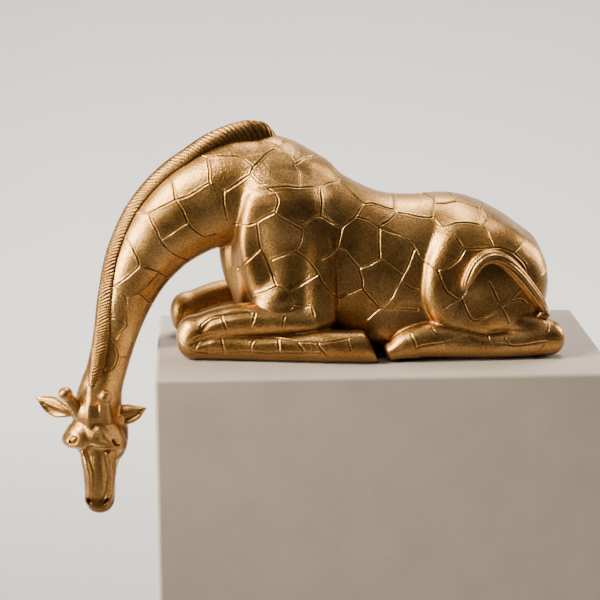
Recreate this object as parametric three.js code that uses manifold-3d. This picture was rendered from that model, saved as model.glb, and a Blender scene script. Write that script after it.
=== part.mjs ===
// A gold-finished giraffe figure that lies on a shelf and lets its neck hang over the edge.
// It is an assembly of glued castings: a hollow trunk, a neck with a steel rod inside, a head with
// separate ears and ossicones, four folded legs, a tail, a mane crest, a base plate and a felt sheet.
//
// Millimetres, +Z up. The chest faces -X and the left flank faces -Y.
// The origin is the centre of the felt underside, on the surface that the figure rests on.

import * as THREE from "three";
import { mergeVertices } from "three/addons/utils/BufferGeometryUtils.js";
import Module from "manifold-3d";

const wasm = await Module();
wasm.setup();

// ---------------------------------------------------------------- driving dimensions

const GAP = 0.3; // glue gap between two castings
const RIM_Z = 0.4; // the castings' underside, just above the surface
const FELT_THICK = 1;
const POCKET_Z = FELT_THICK + GAP; // ceiling of the pocket that holds the felt
const PLATE_THICK = 3;
const LEG_SIDE = { left: -1, right: 1 };
const BIG = 400; // a size past every part, for cutting blocks

// Trunk, from the rump to the chest: x, height of the back, height of the belly, half width.
const TRUNK = [
  { x: 77, top: 58, low: 4, wide: 25 },
  { x: 68, top: 70, low: -3, wide: 32 },
  { x: 54, top: 79, low: -5, wide: 35 },
  { x: 38, top: 81, low: -5, wide: 33 },
  { x: 20, top: 80, low: -5, wide: 31 },
  { x: 4, top: 81.5, low: -5, wide: 30 },
  { x: -12, top: 88, low: -5, wide: 30 },
  { x: -27, top: 97.5, low: -4, wide: 29.5 },
  { x: -42, top: 106.5, low: -2, wide: 28 },
  { x: -55, top: 106, low: 4, wide: 25 },
  { x: -66, top: 82, low: 12, wide: 18 },
];
const TRUNK_ENDS = 0.5; // how far the rump and the chest bulge, as a share of their half size
const TRUNK_CAVITY = [
  { x: 66, top: 54, low: 10, wide: 15 },
  { x: 48, top: 65, low: 7, wide: 23 },
  { x: 20, top: 66, low: 7, wide: 22 },
  { x: -8, top: 76, low: 7, wide: 20 },
  { x: -34, top: 88, low: 9, wide: 17 },
];
const HAUNCH = { at: [60, 21, 37], radii: [30, 17, 35] };
const SHOULDER = { at: [-49, 16, 46], radii: [26, 15.5, 41] };

// Neck, from inside the shoulder to inside the skull: centre, half size across the arch and
// sideways, and how far the mane line has turned from the arch's outside towards the left flank.
const NECK = [
  { at: [-34, 0, 74], half: [22, 18], turn: 0 },
  { at: [-62, 0, 83], half: [28, 23], turn: 0 },
  { at: [-86, 0, 77.5], half: [25, 20.5], turn: 0 },
  { at: [-105, 0, 64.5], half: [21.8, 18.2], turn: 2 },
  { at: [-118.5, 0, 47.5], half: [18, 16], turn: 6 },
  { at: [-127, 0, 28.5], half: [14.2, 13.6], turn: 14 },
  { at: [-134, -0.5, 8], half: [11.8, 12], turn: 30 },
  { at: [-139.6, -2.8, -11], half: [11, 11.2], turn: 50 },
  { at: [-144.4, -6.2, -28], half: [11.2, 10.6], turn: 65 },
];
// The neck meets the trunk on a plane through the throat crease and the withers.
const SEAM_LOW = new THREE.Vector3(-76, 0, 56);
const SEAM_HIGH = new THREE.Vector3(-48, 0, 112);
const POLL_Z = -26; // the neck meets the head on this level
const ROD_RADIUS = 2;

// Mane crest along the neck's outer line: share of the neck's length, rise and half width.
const MANE = [
  { t: 0.13, rise: 9, wide: 3 },
  { t: 0.17, rise: 7.6, wide: 4.6 },
  { t: 0.25, rise: 5, wide: 4.8 },
  { t: 0.45, rise: 3.8, wide: 4.6 },
  { t: 0.7, rise: 3.2, wide: 4 },
  { t: 0.85, rise: 2.4, wide: 3.2 },
  { t: 0.955, rise: 1.6, wide: 2.2 },
];
const MANE_ROOT = 3.5; // how deep the crest is set into the neck

// Head, in its own frame: upright, the face towards -Y and the muzzle towards -Z.
const HEAD_AT = [-145.2, -9, -28];
const FACE_YAW = -18; // the face is turned this far from straight across the figure
const FACE_ROLL = 1; // and its crown leans this far back
const HEAD = [
  { at: [0.5, 3, 10], half: [10, 10.5] },
  { at: [-0.4, 2, 2], half: [12.4, 12] },
  { at: [-0.8, 2, -9], half: [14.8, 13.4] },
  { at: [-0.2, 2.5, -21], half: [14.2, 13.6] },
  { at: [0, 2, -31], half: [11, 11.4] },
  { at: [0, 1, -42], half: [9.2, 9.8] },
  { at: [0, 1, -52], half: [8.4, 9] },
  { at: [0, 1.5, -57], half: [7, 7.6] },
];
const BROW = { at: [12, -4, -21], radii: [5.5, 5.5, 6] };
// Ears and ossicones on each side of a middle line that leans a little to one side.
const EAR = { middle: -3.8, root: [10, 2, -7.5], tip: [31, 3, -2.2], wide: 5.2, thick: 2.4 };
const OSSICONE = { middle: -1.6, root: [6.9, -9, -4], tip: [9.9, -14, 8.4], radius: 2.4, knob: 3 };

// Legs of the left flank, each folded on itself; the right ones are mirrored.
const FORE_CANNON = [
  { at: [-3, -36, 5.6], half: [5.6, 6.4] },
  { at: [-16, -34.5, 8.2], half: [8.6, 7.8] },
  { at: [-36, -32, 7.8], half: [8, 7.8] },
  { at: [-62, -28.5, 7], half: [7, 7.4] },
  { at: [-91, -24.5, 8.6], half: [8.6, 8.4] },
];
const FORE_REACH = { left: 0, right: -4 }; // the right foreleg lies further forward
const FOREARM = [
  { at: [-92.5, -24, 13], half: [9, 8.8] },
  { at: [-74, -26, 18.5], half: [8.2, 8.4] },
  { at: [-52, -28, 22], half: [9, 8.6] },
  { at: [-32, -29, 24], half: [9.5, 8] },
];
const HIND_CANNON = [
  { at: [13, -33.5, 6], half: [5.4, 6.8] },
  { at: [29, -33, 10.2], half: [9.2, 8] },
  { at: [56, -32, 7.8], half: [7.6, 7.8] },
  { at: [90, -29.5, 9.6], half: [9.6, 9] },
];

// Tail, draped over the left haunch from its root to the tuft.
const TAIL = [
  { at: [84, -16, 25], half: [5.4, 4.6] },
  { at: [79.5, -27, 34.5], half: [5, 4] },
  { at: [73, -34.5, 44.5], half: [4.6, 3.6] },
  { at: [65, -37.4, 50], half: [4.4, 3.4] },
  { at: [57, -38.2, 48.5], half: [4.2, 3.4] },
  { at: [51, -37.6, 43], half: [3.2, 2.8] },
  { at: [48, -36.6, 38.6], half: [1.8, 1.8] },
];

const LEG_PEG = 3; // radius of the peg that sets a leg into the trunk
const TAIL_PEG = 1.8;

// Slot under the trunk, closed by the base plate; counterweight; felt sheet.
const SLOT = { from: -48, to: 66, half: 13 };
const BALLAST = { from: 8, to: 62, half: 11, high: 24 };
const FELT = { from: -58, to: 80, half: 29, corner: 14 };
const POCKET_MARGIN = 0.6;

// ---------------------------------------------------------------- geometry helpers

const vector = (a) => new THREE.Vector3(...a);
const mirrored = (stations) => stations.map((s) => ({ ...s, at: [s.at[0], -s.at[1], s.at[2]] }));

/** A smooth curve through points, by their index. */
const smooth = (points) => new THREE.CatmullRomCurve3(points, false, "catmullrom", 0.5);

/** Cross-sections along a path: each has a centre, two axes and two half sizes. */
function crossSections(stations, { rings, grow, across }) {
  const path = smooth(stations.map((s) => vector(s.at)));
  const sizes = smooth(
    stations.map((s) => new THREE.Vector3(s.half[0], s.half[1], THREE.MathUtils.degToRad(s.turn ?? 0))),
  );
  return Array.from({ length: rings + 1 }, (_, i) => sectionAt(path, sizes, i / rings, grow, across));
}

function sectionAt(path, sizes, t, grow = 0, across = new THREE.Vector3(0, 1, 0)) {
  const tangent = path.getTangent(t);
  const size = sizes.getPoint(t);
  const side = across.clone().addScaledVector(tangent, -tangent.dot(across)).normalize();
  side.applyAxisAngle(tangent, size.z);
  return {
    centre: path.getPoint(t),
    tangent,
    side,
    up: side.clone().cross(tangent),
    half: [size.x + grow, size.y + grow],
  };
}

/** Closes a row of cross-sections into one body, with a dome on each end. */
function skin(sections, { sides = 20, power = 2, dome = 0.8, domeRings = 3 } = {}) {
  const rows = [];
  const domeRows = (section, direction) =>
    Array.from({ length: domeRings }, (_, k) => {
      const a = ((k + 1) / (domeRings + 1)) * (Math.PI / 2);
      const reach = dome * Math.min(...section.half) * direction;
      return {
        ...section,
        centre: section.centre.clone().addScaledVector(section.tangent, reach * Math.sin(a)),
        half: section.half.map((h) => h * Math.cos(a)),
      };
    });
  const pole = (section, direction) =>
    section.centre
      .clone()
      .addScaledVector(section.tangent, dome * Math.min(...section.half) * direction);
  const first = sections[0];
  const last = sections.at(-1);
  rows.push(...domeRows(first, -1).reverse(), ...sections, ...domeRows(last, 1));

  const positions = [];
  const round = (x) => Math.sign(x) * Math.abs(x) ** (2 / power);
  for (const { centre, up, side, half } of rows) {
    for (let j = 0; j < sides; j++) {
      const a = (j / sides) * 2 * Math.PI;
      const p = centre
        .clone()
        .addScaledVector(up, half[0] * round(Math.cos(a)))
        .addScaledVector(side, half[1] * round(Math.sin(a)));
      positions.push(...p);
    }
  }
  const start = rows.length * sides;
  positions.push(...pole(first, -1), ...pole(last, 1));

  const index = [];
  for (let i = 0; i + 1 < rows.length; i++) {
    for (let j = 0; j < sides; j++) {
      const [a, b] = [i * sides + j, i * sides + ((j + 1) % sides)];
      index.push(a, b, b + sides, a, b + sides, a + sides);
    }
  }
  for (let j = 0; j < sides; j++) {
    const next = (j + 1) % sides;
    index.push(start, next, j);
    index.push(start + 1, (rows.length - 1) * sides + j, (rows.length - 1) * sides + next);
  }
  const geometry = new THREE.BufferGeometry();
  geometry.setAttribute("position", new THREE.Float32BufferAttribute(positions, 3));
  geometry.setIndex(index);
  return geometry;
}

function sweep(stations, { rings = 16, grow = 0, across, ...shape } = {}) {
  return solid(skin(crossSections(stations, { rings, grow, across }), shape));
}

/** A three.js geometry as a manifold solid. */
function solid(geometry) {
  const bare = geometry.clone();
  bare.deleteAttribute("normal");
  bare.deleteAttribute("uv");
  const merged = mergeVertices(bare, 1e-4);
  return new wasm.Manifold(
    new wasm.Mesh({
      numProp: 3,
      vertProperties: merged.attributes.position.array,
      triVerts: new Uint32Array(merged.index.array),
    }),
  );
}

function ball({ at, radii }, detail = [18, 12]) {
  const geometry = new THREE.SphereGeometry(1, ...detail);
  return solid(geometry.scale(...radii).translate(...at));
}

function block(size, at) {
  return solid(new THREE.BoxGeometry(...size).translate(...at));
}

/** A round peg from one point to another. */
function peg(from, to, radius, grow = 0) {
  const [a, b] = [vector(from), vector(to)];
  const along = b.clone().sub(a);
  const geometry = new THREE.CylinderGeometry(radius + grow, radius + grow, along.length() + 2 * grow, 12);
  geometry.applyQuaternion(
    new THREE.Quaternion().setFromUnitVectors(new THREE.Vector3(0, 1, 0), along.clone().normalize()),
  );
  geometry.translate(...a.add(b).multiplyScalar(0.5));
  return solid(geometry);
}

/** A flat plate with a given outline between two levels. */
function plate(shape, low, high, grow = 0) {
  const geometry = new THREE.ExtrudeGeometry(shape, {
    depth: high - low + grow,
    bevelEnabled: false,
    curveSegments: 8,
  });
  return solid(geometry.translate(0, 0, low));
}

/** A rectangle with round corners from one x to another; without a corner radius it is a slot. */
function roundedShape({ from, to, half, corner = half }, grow = 0) {
  const shape = new THREE.Shape();
  const straight = half - corner;
  const corners = [
    [to - corner, -straight, -Math.PI / 2],
    [to - corner, straight, 0],
    [from + corner, straight, Math.PI / 2],
    [from + corner, -straight, Math.PI],
  ];
  for (const [x, y, start] of corners) {
    shape.absarc(x, y, corner + grow, start, start + Math.PI / 2);
  }
  shape.closePath();
  return shape;
}

/** The largest body of a solid, without slivers that a cut has left. */
function largest(made) {
  return made.decompose().sort((a, b) => b.volume() - a.volume())[0];
}

const together = (solids) => solids.reduce((a, b) => a.add(b));
const without = (made, cuts) => cuts.reduce((a, b) => a.subtract(b), made);

// ---------------------------------------------------------------- half spaces

const seamAlong = SEAM_HIGH.clone().sub(SEAM_LOW).normalize();
const seamAngle = Math.atan2(seamAlong.x, seamAlong.z);

/** Everything on the neck's side of the seam, moved towards the neck by shift. */
function neckSide(shift = 0) {
  const geometry = new THREE.BoxGeometry(BIG, BIG, BIG).translate(-BIG / 2 - shift, 0, 0);
  geometry.rotateY(seamAngle).translate(...SEAM_LOW);
  return solid(geometry);
}

/** The room under the castings: open air below the rim and the pocket for the felt. */
const underside = () =>
  below(RIM_Z).add(plate(roundedShape(FELT, POCKET_MARGIN), -1, POCKET_Z));
const below = (z) => block([BIG, BIG, BIG], [0, 0, z - BIG / 2]);

// ---------------------------------------------------------------- neck, mane and rod

const neckPath = smooth(NECK.map((s) => vector(s.at)));
const neckSizes = smooth(
  NECK.map((s) => new THREE.Vector3(s.half[0], s.half[1], THREE.MathUtils.degToRad(s.turn))),
);

function neckBody(grow = 0) {
  return sweep(NECK, { rings: 20, sides: 18, grow });
}

/** The mane crest: an upright oval on the neck's outer line. */
function maneBody(grow = 0) {
  const profile = smooth(MANE.map((m) => new THREE.Vector3(m.t, m.rise, m.wide)));
  const rings = 24;
  const sections = Array.from({ length: rings + 1 }, (_, i) => {
    const { x: t, y: rise, z: wide } = profile.getPoint(i / rings);
    const section = sectionAt(neckPath, neckSizes, t);
    const tall = (rise + MANE_ROOT) / 2;
    const out = section.half[0] - MANE_ROOT + tall;
    return {
      ...section,
      centre: section.centre.clone().addScaledVector(section.up, out),
      half: [tall + grow, wide + grow],
    };
  });
  return solid(skin(sections, { sides: 10, power: 2.4, dome: 0.5, domeRings: 1 }));
}

function rodBody(grow = 0) {
  const from = 0.06;
  const to = 1;
  const rings = 18;
  const sections = Array.from({ length: rings + 1 }, (_, i) => {
    const section = sectionAt(neckPath, neckSizes, from + ((to - from) * i) / rings);
    return { ...section, half: [ROD_RADIUS + grow, ROD_RADIUS + grow] };
  });
  return solid(skin(sections, { sides: 8, dome: 0.3 + grow, domeRings: 1 }));
}

// ---------------------------------------------------------------- legs, tail and trunk

function foreleg(name, grow = 0) {
  const side = LEG_SIDE[name];
  const [cannon, arm] = [FORE_CANNON, FOREARM].map((s) => (side < 0 ? s : mirrored(s)));
  const whole = together([
    sweep(cannon, { rings: 10, sides: 12, grow, power: 2.3, dome: 1.2 }),
    sweep(arm, { rings: 6, sides: 12, grow, dome: 1 }),
    peg([-52, side * 27, 16], [-52, side * 13, 16], LEG_PEG, grow),
  ]);
  return whole.translate([FORE_REACH[name], 0, 0]);
}

function hindleg(name, grow = 0) {
  const side = LEG_SIDE[name];
  const cannon = side < 0 ? HIND_CANNON : mirrored(HIND_CANNON);
  return sweep(cannon, { rings: 12, sides: 12, grow, power: 2.3, dome: 1.25 }).add(
    peg([70, side * 31, 12], [70, side * 17, 12], LEG_PEG, grow),
  );
}

function tail(grow = 0) {
  const across = new THREE.Vector3(-0.3, 1, 0).normalize();
  return sweep(TAIL, { rings: 16, sides: 10, grow, across, dome: 0.9 }).add(
    peg([62, -38, 49.5], [62, -30, 49.5], TAIL_PEG, grow),
  );
}

function trunkStations(rows) {
  return rows.map(({ x, top, low, wide }) => ({
    at: [x, 0, (top + low) / 2],
    half: [(top - low) / 2, wide],
  }));
}

function trunkBody() {
  const sides = Object.values(LEG_SIDE);
  const muscles = [HAUNCH, SHOULDER].flatMap(({ at: [x, y, z], radii }) =>
    sides.map((side) => ball({ at: [x, side * y, z], radii })),
  );
  return together([
    sweep(trunkStations(TRUNK), { rings: 22, sides: 24, power: 2.15, dome: TRUNK_ENDS }),
    ...muscles,
    neckBody(),
  ]);
}

function trunkCavity() {
  const hollow = sweep(trunkStations(TRUNK_CAVITY), { rings: 10, sides: 16, dome: 0.6 });
  const opening = plate(roundedShape(SLOT, GAP), -1, POCKET_Z + PLATE_THICK + 12);
  return hollow.add(opening);
}

// ---------------------------------------------------------------- head

const headTurn = new THREE.Euler(
  0,
  THREE.MathUtils.degToRad(FACE_ROLL),
  THREE.MathUtils.degToRad(FACE_YAW),
  "ZYX",
);
const headMatrix = new THREE.Matrix4().makeRotationFromEuler(headTurn).setPosition(...HEAD_AT);

const inHeadFrame = (made) => made.transform(headMatrix.clone().invert().toArray());

function headCore() {
  const brows = [-1, 1].map((s) => {
    const [x, y, z] = BROW.at;
    return ball({ at: [s * x, y, z], radii: BROW.radii }, [12, 8]);
  });
  const core = sweep(HEAD, { rings: 12, sides: 16, dome: 0.85 });
  const neckPlane = block([BIG, BIG, BIG], [0, 0, POLL_Z - GAP / 2 + BIG / 2]);
  return without(together([core, ...brows]), [inHeadFrame(neckPlane)]);
}

/** A point between the root and the tip of a paired fitting, on one side of the head. */
function between({ middle, root, tip }, side, t, lift = 0) {
  const [x, y, z] = root.map((r, k) => r + (tip[k] - r) * t);
  return [middle + side * x, y, z + lift];
}

function ear(side, grow = 0) {
  const at = (t, lift) => between(EAR, side, t, lift);
  const leaf = [
    { at: at(0, 0), half: [EAR.wide * 0.5, EAR.thick] },
    { at: at(0.3, -0.6), half: [EAR.wide * 0.92, EAR.thick] },
    { at: at(0.55, -0.8), half: [EAR.wide, EAR.thick * 0.8] },
    { at: at(0.8, -0.5), half: [EAR.wide * 0.66, EAR.thick * 0.6] },
    { at: at(0.97, 0), half: [EAR.wide * 0.2, EAR.thick * 0.4] },
  ];
  return sweep(leaf, { rings: 8, sides: 10, grow, dome: 0.6, domeRings: 2 });
}

function ossicone(side, grow = 0) {
  const across = new THREE.Vector3(1, 0, 0);
  const at = (t) => between(OSSICONE, side, t);
  const horn = [
    { at: at(-0.2), half: [OSSICONE.radius, OSSICONE.radius] },
    { at: at(0.35), half: [OSSICONE.radius * 0.95, OSSICONE.radius * 0.95] },
    { at: at(0.75), half: [OSSICONE.radius, OSSICONE.radius] },
    { at: at(0.95), half: [OSSICONE.knob, OSSICONE.knob] },
  ];
  return sweep(horn, { rings: 6, sides: 10, grow, across, dome: 0.9 });
}

// ---------------------------------------------------------------- materials and nodes

const gold = new THREE.MeshStandardMaterial({ color: 0xc08a3e, roughness: 0.34, metalness: 0.95 });
const steel = new THREE.MeshStandardMaterial({ color: 0x9a9c9f, roughness: 0.4, metalness: 1 });
const plaster = new THREE.MeshStandardMaterial({ color: 0xd9d4c8, roughness: 0.9, metalness: 0 });
const felt = new THREE.MeshStandardMaterial({ color: 0x2b2622, roughness: 1, metalness: 0 });

function node(name, made, material) {
  const { vertProperties, triVerts } = largest(made).getMesh();
  const geometry = new THREE.BufferGeometry();
  geometry.setAttribute("position", new THREE.BufferAttribute(vertProperties, 3));
  geometry.setIndex(new THREE.BufferAttribute(triVerts, 1));
  geometry.computeVertexNormals();
  const mesh = new THREE.Mesh(geometry, material);
  mesh.name = name;
  return mesh;
}

function trunkNodes() {
  const legs = Object.keys(LEG_SIDE).flatMap((name) => [foreleg(name, GAP), hindleg(name, GAP)]);
  const shell = without(trunkBody(), [
    underside(),
    neckSide(-GAP),
    trunkCavity(),
    tail(GAP),
    maneBody(GAP),
    rodBody(GAP),
    ...legs,
  ]);
  return [node("trunk_shell", shell, gold)];
}

function neckNodes() {
  const casting = without(neckBody().intersect(neckSide()), [
    below(POLL_Z + GAP / 2),
    maneBody(GAP),
    rodBody(GAP),
  ]);
  return [
    node("neck_casting", casting, gold),
    node("mane_crest", maneBody(), gold),
    node("neck_rod", rodBody(), steel),
  ];
}

function legNodes() {
  return Object.keys(LEG_SIDE).flatMap((name) => [
    node(`foreleg_${name}`, foreleg(name).subtract(underside()), gold),
    node(`hindleg_${name}`, hindleg(name).subtract(underside()), gold),
  ]);
}

function headGroup() {
  const group = new THREE.Group();
  group.applyMatrix4(headMatrix);
  const fittings = [-1, 1].flatMap((side) => [ear(side, GAP), ossicone(side, GAP)]);
  group.add(node("head_casting", without(headCore(), [inHeadFrame(rodBody(GAP)), ...fittings]), gold));
  for (const [name, side] of Object.entries(LEG_SIDE)) {
    group.add(node(`ear_${name}`, ear(side), gold));
    group.add(node(`ossicone_${name}`, ossicone(side), gold));
  }
  return group;
}

function baseNodes() {
  const coverPlate = plate(roundedShape(SLOT), POCKET_Z, POCKET_Z + PLATE_THICK);
  const ballastLow = POCKET_Z + PLATE_THICK + GAP;
  const ballast = plate(roundedShape(BALLAST), ballastLow, ballastLow + BALLAST.high);
  return [
    node("base_plate", coverPlate, gold),
    node("ballast_block", ballast, plaster),
    node("felt_sheet", plate(roundedShape(FELT), 0, FELT_THICK), felt),
  ];
}

const figure = new THREE.Group();
figure.name = "giraffe_figure";
figure.add(...trunkNodes(), ...neckNodes(), ...legNodes(), node("tail", tail(), gold));
figure.add(...baseNodes(), headGroup());

export default figure;
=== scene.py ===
"""A gold-finished giraffe figurine that lies on a plinth and lets its neck hang over the edge.

Each casting is sculpted as a distance field in millimetres: ovals swept along curves and
ellipsoids, melted together. The field is turned into a mesh, the mesh is refined where lines are
incised, and the lines are pressed into it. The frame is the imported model's: the chest faces -X,
the left flank -Y, and the figure rests on z = 0.
"""

import math
from concurrent.futures import ThreadPoolExecutor

import bmesh
import bpy
import numpy as np
import openvdb
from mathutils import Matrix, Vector
from mathutils.kdtree import KDTree


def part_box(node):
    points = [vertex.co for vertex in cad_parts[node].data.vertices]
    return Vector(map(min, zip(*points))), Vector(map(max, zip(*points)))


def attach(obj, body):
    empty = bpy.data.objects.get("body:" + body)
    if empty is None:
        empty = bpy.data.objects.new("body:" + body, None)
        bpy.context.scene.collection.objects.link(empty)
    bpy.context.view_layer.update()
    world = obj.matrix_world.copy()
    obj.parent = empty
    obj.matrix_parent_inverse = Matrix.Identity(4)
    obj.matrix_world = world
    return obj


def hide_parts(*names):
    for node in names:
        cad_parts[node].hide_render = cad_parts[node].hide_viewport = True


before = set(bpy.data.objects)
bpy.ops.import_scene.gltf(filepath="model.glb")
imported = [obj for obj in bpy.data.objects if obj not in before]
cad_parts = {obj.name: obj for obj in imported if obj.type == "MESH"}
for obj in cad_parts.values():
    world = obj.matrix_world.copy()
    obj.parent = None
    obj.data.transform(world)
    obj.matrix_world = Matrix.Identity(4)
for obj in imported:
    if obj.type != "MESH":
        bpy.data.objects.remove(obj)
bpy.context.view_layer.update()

MM = 0.001
RIM_Z = 0.4  # the castings' underside, just above the surface
LEFT, RIGHT = -1, 1

# ---------------------------------------------------------------- the figure's dimensions, mm

# Trunk: x, height of the back, height of the belly, half width.
TRUNK = [
    (80, 61, 6, 26),
    (72, 68.5, 0, 30),
    (63, 74, -4, 32),
    (52, 79, -5, 32.5),
    (38, 81.5, -5, 30.5),
    (20, 80.5, -5, 30.5),
    (4, 82.5, -5, 29.5),
    (-12, 90, -5, 28),
    (-27, 100, -4, 27),
    (-42, 108, -2, 25.5),
    (-55, 108, 4, 22.5),
    (-66, 84, 12, 16),
]
# Neck: centre, half size across the arch and sideways, turn of the mane line in degrees.
NECK = [
    (-34, 0, 76, 23, 18, 0),
    (-62, 0, 83.5, 28, 20, 0),
    (-86, 0, 77.5, 25, 19, 0),
    (-105, 0, 64.5, 21.4, 18, 2),
    (-118.5, 0, 47.5, 17.4, 15.6, 10),
    (-127.5, 0, 28.5, 13.8, 13.2, 24),
    (-134.5, -0.5, 8, 11.4, 11.6, 44),
    (-140, -2.8, -11, 10.6, 10.8, 56),
    (-144.6, -6.2, -28, 10.8, 10.4, 66),
]
SEAM_LOW = np.array([-76.0, 0.0, 56.0])
SEAM_HIGH = np.array([-48.0, 0.0, 112.0])
POLL_Z = -26.0

# Mane: share of the neck's length, rise of the crest, half width of its foot.
MANE = [
    (0.086, 0.1, 1.4),
    (0.098, 3.4, 2.6),
    (0.112, 8.2, 3.8),
    (0.13, 8.8, 4.6),
    (0.17, 7, 5.4),
    (0.25, 4.8, 6.4),
    (0.45, 3.6, 6.8),
    (0.7, 3, 6),
    (0.85, 2.6, 5),
    (0.95, 2.2, 3),
    (0.99, 1.6, 1.4),
]

# The head's frame: turned about the vertical and rolled, upright, face towards -Y.
HEAD_AT = np.array([-145.2, -9.0, -28.0])
FACE_YAW = -18
FACE_ROLL = 1

FORE_SHIFT = {LEFT: 0.0, RIGHT: -4.0}  # along X: the far knee lies further forward
SHELF_EDGE = -112.0  # x of the shelf's front edge
SUNK = 0.5  # how far a casting's copy of its neighbour lies under the neighbour's surface

# How fine the grid of each surface is.
BODY_STEP = 1.25
LEG_STEP = 0.9
HEAD_STEP = 0.55
FITTING_STEP = 0.4

# ---------------------------------------------------------------- vectors and curves


def share(value):
    """Values kept between 0 and 1."""
    return np.clip(value, 0, 1)


def unit(v):
    return v / np.linalg.norm(v, axis=-1, keepdims=True)


def turn_z(degrees):
    c, s = math.cos(math.radians(degrees)), math.sin(math.radians(degrees))
    return np.array([[c, -s, 0], [s, c, 0], [0, 0, 1]])


def turn_y(degrees):
    c, s = math.cos(math.radians(degrees)), math.sin(math.radians(degrees))
    return np.array([[c, 0, s], [0, 1, 0], [-s, 0, c]])


def spline(points, t):
    """Points of a smooth curve through the given ones, by their share of the way along."""
    points = np.asarray(points, float)
    last = len(points) - 1
    place = share(np.asarray(t, float)) * last
    i = np.minimum(place.astype(int), last - 1)
    w = (place - i)[:, None]
    padded = np.vstack([2 * points[0] - points[1], points, 2 * points[-1] - points[-2]])
    a, b, c, d = (padded[i + k] for k in range(4))
    cubic = (3 * b - a - 3 * c + d) * w**3
    return 0.5 * (2 * b + (c - a) * w + (2 * a - 5 * b + 4 * c - d) * w**2 + cubic)


# ---------------------------------------------------------------- distance fields

CHUNK = 8192
workers = ThreadPoolExecutor(4)


def each(field, p):
    """The field at many points, in chunks that run side by side."""
    parts = [p[k : k + CHUNK] for k in range(0, len(p), CHUNK)]
    return np.concatenate(list(workers.map(field, parts)))


FAR = 14.0  # beyond this from a shape's box, the distance from the box will do
DEEPEST = -30.0
MARK_EVERY = 3  # the stations from which the search for the nearest one starts


def inflated(reach, oval):
    """Distance outside an oval, from the distance to its centre and the share of its size."""
    return np.maximum(reach * (1 - 1 / oval), DEEPEST)


class Shape:
    """A distance field that is worked out in full only near its box."""

    def bound(self, low, high):
        self.low, self.high = np.min(low, 0), np.max(high, 0)

    def __call__(self, p):
        outside = np.maximum(np.maximum(self.low - p, p - self.high), 0)
        f = np.sqrt((outside * outside).sum(1))
        near = f < FAR
        if near.all():
            return self.distance(p)
        if near.any():
            f[near] = self.distance(p[near])
        return f


class Loft(Shape):
    """Ovals swept along a curve, with a round cap on each end."""

    def __init__(self, *stations, across=(0, 1, 0), power=2.0, caps=(0.8, 0.8), steps=120):
        rows = np.array([tuple(s) + (0,) * (6 - len(s)) for s in stations], float)
        values = spline(rows, np.linspace(0, 1, steps + 1))
        self.steps, self.power, self.caps = steps, power, caps
        self.centre = values[:, :3]
        self.half = values[:, 3:5]
        run = np.gradient(self.centre, axis=0)
        self.spacing = np.linalg.norm(run, axis=1)
        self.tangent = unit(run)
        across = np.asarray(across, float)
        side = unit(across - self.tangent * (self.tangent @ across)[:, None])
        turn = np.radians(values[:, 5])[:, None]
        self.side = side * np.cos(turn) + np.cross(side, self.tangent) * np.sin(turn)
        self.up = np.cross(self.side, self.tangent)
        widest = self.half.max(1)[:, None]
        self.bound(self.centre - widest, self.centre + widest)
        self.marks = self.centre[::MARK_EVERY]
        self.marks_squared = (self.marks**2).sum(1)

    def between(self, s, *rows):
        """Rows of values at fractional stations."""
        i = np.clip(s.astype(int), 0, self.steps - 1)
        w = (s - i)[:, None]
        return [a[i] * (1 - w) + a[i + 1] * w for a in rows]

    def at(self, s):
        """Centre, up, side, tangent and half sizes at fractional stations."""
        return self.between(s, self.centre, self.up, self.side, self.tangent, self.half)

    def nearest(self, p):
        """Each point's station: the closest mark, improved twice."""
        s = (self.marks_squared - 2 * (p @ self.marks.T)).argmin(1) * float(MARK_EVERY)
        for _ in range(2):
            centre, tangent = self.between(s, self.centre, self.tangent)
            spacing = self.spacing[np.clip(s.astype(int), 0, self.steps - 1)]
            s = np.clip(s + ((p - centre) * tangent).sum(1) / spacing, 0, self.steps)
        return s

    def distance(self, p):
        s = self.nearest(p)
        centre, up, side, tangent, half = self.at(s)
        w = p - centre
        u, v, along = (w * up).sum(1), (w * side).sum(1), (w * tangent).sum(1)
        t = np.where((s <= 0) | (s >= self.steps), along, 0)
        cap = np.where(s < self.steps / 2, *self.caps) * half.min(1)
        reach = np.sqrt(u * u + v * v + t * t)
        if self.power == 2:
            oval = np.sqrt((u / half[:, 0]) ** 2 + (v / half[:, 1]) ** 2 + (t / cap) ** 2)
        else:
            n = self.power
            oval = np.abs(u / half[:, 0]) ** n + np.abs(v / half[:, 1]) ** n
            oval = (oval + np.abs(t / cap) ** n) ** (1 / n)
        return inflated(reach, np.maximum(oval, 1e-4))


class Ball(Shape):
    """An ellipsoid, tipped about Y and then turned about Z."""

    def __init__(self, centre, radii, tip=0, turn=0):
        self.centre = np.asarray(centre, float)
        self.radii = np.asarray(radii, float)
        self.axes = turn_z(turn) @ turn_y(tip)
        box = np.sqrt(((self.axes * self.radii) ** 2).sum(1))
        self.bound([self.centre - box], [self.centre + box])

    def distance(self, p):
        w = (p - self.centre) @ self.axes
        k0 = np.maximum(np.sqrt(((w / self.radii) ** 2).sum(1)), 1e-6)
        k1 = np.maximum(np.sqrt(((w / self.radii**2) ** 2).sum(1)), 1e-9)
        return k0 * (k0 - 1) / k1


def melt(a, b, k):
    """The union of two fields, with a fillet of about k."""
    h = share(0.5 + 0.5 * (b - a) / k)
    return b * (1 - h) + a * h - k * h * (1 - h)


def melt_of(k, first, *others):
    """One field of several, melted together."""

    def field(p):
        f = first(p)
        for other in others:
            f = melt(f, other(p), k)
        return f

    return field


def on_side(left, side, shift=0.0):
    """A left side's field, or its mirror image on the right one, moved along X."""
    return lambda p: left((p - (shift, 0, 0)) * (1, -side, 1))


def carve(a, b, k):
    """Field a without field b, with an edge rounded by about k."""
    return -melt(-a, b, k)


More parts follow.
